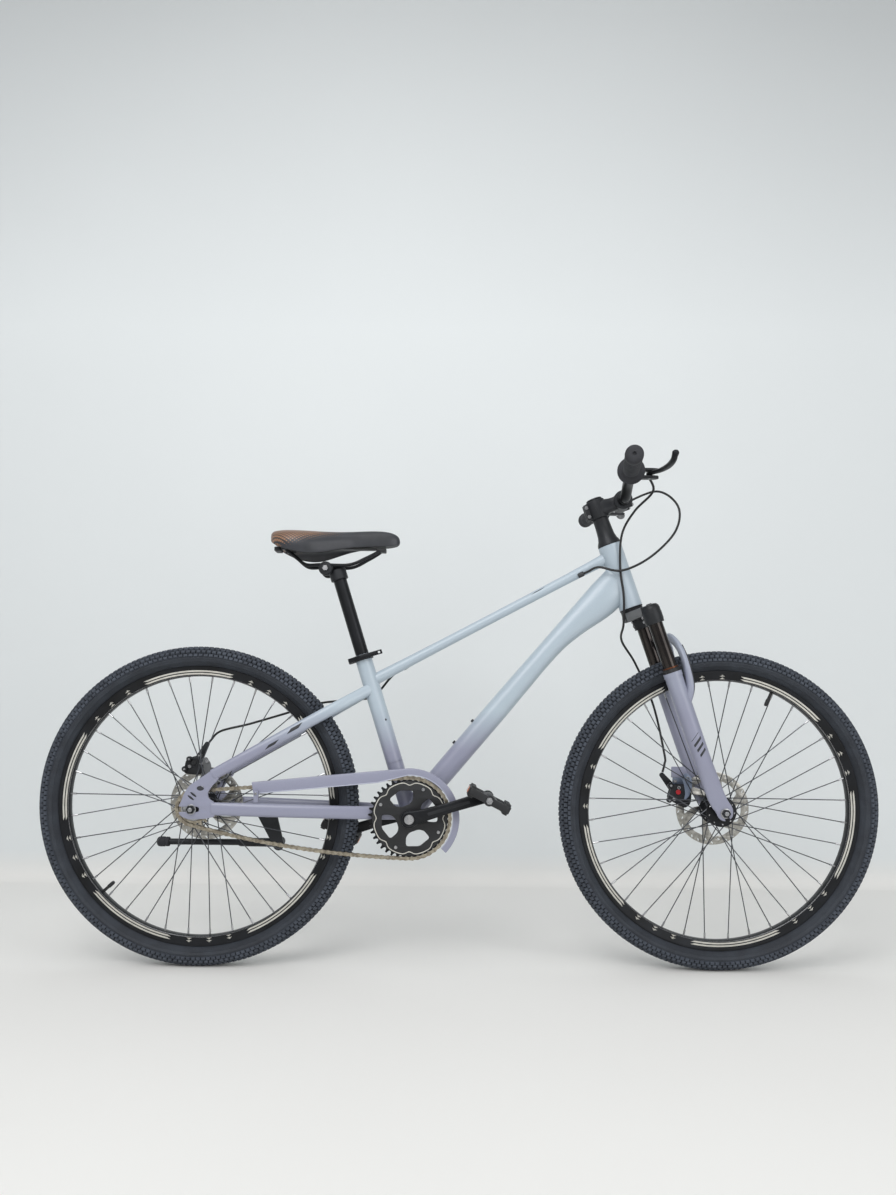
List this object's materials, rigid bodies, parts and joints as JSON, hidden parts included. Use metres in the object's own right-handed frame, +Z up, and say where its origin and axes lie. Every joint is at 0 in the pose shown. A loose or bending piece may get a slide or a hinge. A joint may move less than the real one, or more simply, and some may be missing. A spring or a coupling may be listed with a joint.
{
  "type": "hardtail mountain bike",
  "caption": "Hardtail mountain bike with suspension fork, disc brakes, single-speed chain drive, chain guard and kickstand.",
  "frame": {"origin": "on the ground, midway between the places where the two tyres stand", "axes": "+X forward, +Y to the rider's left, +Z up"},
  "size_m": [1.806, 0.6186, 1.0546],
  "materials": {
    "lavender_paint": "satin paint",
    "tyre_rubber": "matte",
    "anodised_rim": "black anodised",
    "hub_alloy": "black anodised",
    "rotor_steel": "brushed",
    "chain_steel": "oiled",
    "black_alloy": "black satin",
    "dark_chrome": "dark polished",
    "black_plastic": "matte",
    "zinc_steel": "zinc plated",
    "grip_rubber": "matte",
    "saddle_vinyl": "semi-gloss",
    "cable_housing": "satin"
  },
  "bodies": {
    "frame": {"frame": "lavender_paint", "chain_guard": "lavender_paint", "seat_clamp": "black_alloy", "bb_cup_right": "black_alloy", "bb_cup_left": "black_alloy", "headset_lower": "black_alloy", "kickstand_bracket": "black_alloy", "rear_caliper": "black_alloy", "rear_brake_cable": "cable_housing", "chain": "chain_steel", "rear_axle": "zinc_steel"},
    "seat_clamp_lever": {"seat_clamp_lever": "black_alloy"},
    "steering": {"fork_crown": "black_alloy", "stanchion_right": "dark_chrome", "stanchion_left": "dark_chrome", "stem": "black_alloy", "headset_cover": "black_alloy", "top_cap": "black_alloy", "handlebar": "black_alloy", "grip_right": "grip_rubber", "grip_left": "grip_rubber", "lever_bracket_right": "black_alloy", "lever_bracket_left": "black_alloy", "front_brake_cable": "cable_housing"},
    "fork_lowers": {"fork_lowers": "lavender_paint", "dust_seal_right": "black_plastic", "dust_seal_left": "black_plastic", "front_axle": "zinc_steel", "front_caliper": "black_alloy"},
    "front_wheel": {"front_tyre": "tyre_rubber", "front_rim": "anodised_rim", "front_hub": "hub_alloy", "front_rotor": "rotor_steel", "front_valve": "black_plastic"},
    "rear_wheel": {"rear_tyre": "tyre_rubber", "rear_rim": "anodised_rim", "rear_hub": "hub_alloy", "rear_rotor": "rotor_steel", "rear_valve": "black_plastic"},
    "freewheel": {"freewheel": "zinc_steel"},
    "crank": {"chainring": "black_alloy", "chainring_guard": "black_alloy", "crank_right": "black_alloy", "crank_left": "black_alloy", "bb_spindle": "zinc_steel", "pedal_axle_right": "zinc_steel", "pedal_axle_left": "zinc_steel"},
    "pedal_right": {"pedal_right": "black_plastic"},
    "pedal_left": {"pedal_left": "black_plastic"},
    "brake_lever_right": {"brake_lever_right": "black_alloy"},
    "brake_lever_left": {"brake_lever_left": "black_alloy"},
    "front_caliper_arm": {"front_caliper_arm": "black_alloy"},
    "rear_caliper_arm": {"rear_caliper_arm": "black_alloy"},
    "kickstand": {"kickstand_leg": "black_alloy", "kickstand_foot": "grip_rubber"},
    "seatpost": {"seatpost": "black_alloy", "saddle_clamp": "black_alloy", "saddle_rails": "black_alloy", "saddle_base": "black_plastic", "saddle_cover": "saddle_vinyl"}
  },
  "joints": [
    {"name": "steering", "type": "hinge", "parent": "frame", "child": "steering", "pos_m": [0.36716, 0, 0.77837], "axis": [-0.3338, 0, 0.9426], "range_deg": [-60, 60], "deforming": ["rear_brake_cable"]},
    {"name": "fork_travel", "type": "slide", "parent": "steering", "child": "fork_lowers", "axis": [-0.3338, 0, 0.9426], "range_m": [0, 0.07], "stiffness_N_per_m": 9000, "springref_m": -0.015, "deforming": ["front_brake_cable"]},
    {"name": "front_wheel_spin", "type": "hinge", "parent": "fork_lowers", "child": "front_wheel", "pos_m": [0.558, 0, 0.34311], "axis": [0, 1, 0], "continuous": true},
    {"name": "rear_wheel_spin", "type": "hinge", "parent": "frame", "child": "rear_wheel", "pos_m": [-0.558, 0, 0.34311], "axis": [0, 1, 0], "continuous": true},
    {"name": "crank_spin", "type": "hinge", "parent": "frame", "child": "crank", "pos_m": [-0.1042, 0, 0.326], "axis": [0, 1, 0], "continuous": true, "deforming": ["chain"]},
    {"name": "freewheel_spin", "type": "hinge", "parent": "frame", "child": "freewheel", "pos_m": [-0.558, 0, 0.34311], "axis": [0, 1, 0], "continuous": true},
    {"name": "pedal_right_spin", "type": "hinge", "parent": "crank", "child": "pedal_right", "pos_m": [0.05837, -0.1245, 0.3757], "axis": [0, 1, 0], "continuous": true},
    {"name": "pedal_left_spin", "type": "hinge", "parent": "crank", "child": "pedal_left", "pos_m": [-0.26677, 0.1245, 0.2763], "axis": [0, 1, 0], "continuous": true},
    {"name": "brake_lever_right", "type": "hinge", "parent": "steering", "child": "brake_lever_right", "pos_m": [0.36654, -0.175, 1.02358], "axis": [0, 0, -1], "range_deg": [0, 15], "stiffness_Nm_per_rad": 0.8, "springref_deg": -5.73},
    {"name": "brake_lever_left", "type": "hinge", "parent": "steering", "child": "brake_lever_left", "pos_m": [0.36654, 0.175, 1.02358], "axis": [0, 0, 1], "range_deg": [0, 15], "stiffness_Nm_per_rad": 0.8, "springref_deg": -5.73},
    {"name": "front_caliper_arm", "type": "hinge", "parent": "fork_lowers", "child": "front_caliper_arm", "pos_m": [0.48, 0.0616, 0.37911], "axis": [0, 1, 0], "range_deg": [0, 15]},
    {"name": "rear_caliper_arm", "type": "hinge", "parent": "frame", "child": "rear_caliper_arm", "pos_m": [-0.584, 0.0702, 0.43311], "axis": [0, 1, 0], "range_deg": [0, 15]},
    {"name": "kickstand_fold", "type": "hinge", "parent": "frame", "child": "kickstand", "pos_m": [-0.4, 0.076, 0.25402], "axis": [0, -0.9272, -0.3746], "range_deg": [0, 104]},
    {"name": "seatpost_slide", "type": "slide", "parent": "frame", "child": "seatpost", "axis": [-0.2957, 0, 0.9553], "range_m": [-0.1, 0.05]},
    {"name": "seat_clamp_lever", "type": "hinge", "parent": "frame", "child": "seat_clamp_lever", "pos_m": [-0.23512, -0.0144, 0.65762], "axis": [0.2957, 0, -0.9553], "range_deg": [0, 150]}
  ],
  "couplings": [
    {"joint": "freewheel_spin", "follows": "crank_spin", "ratio": 2.3333},
    {"joint": "front_caliper_arm", "follows": "brake_lever_right", "ratio": 1},
    {"joint": "rear_caliper_arm", "follows": "brake_lever_left", "ratio": 1}
  ]
}
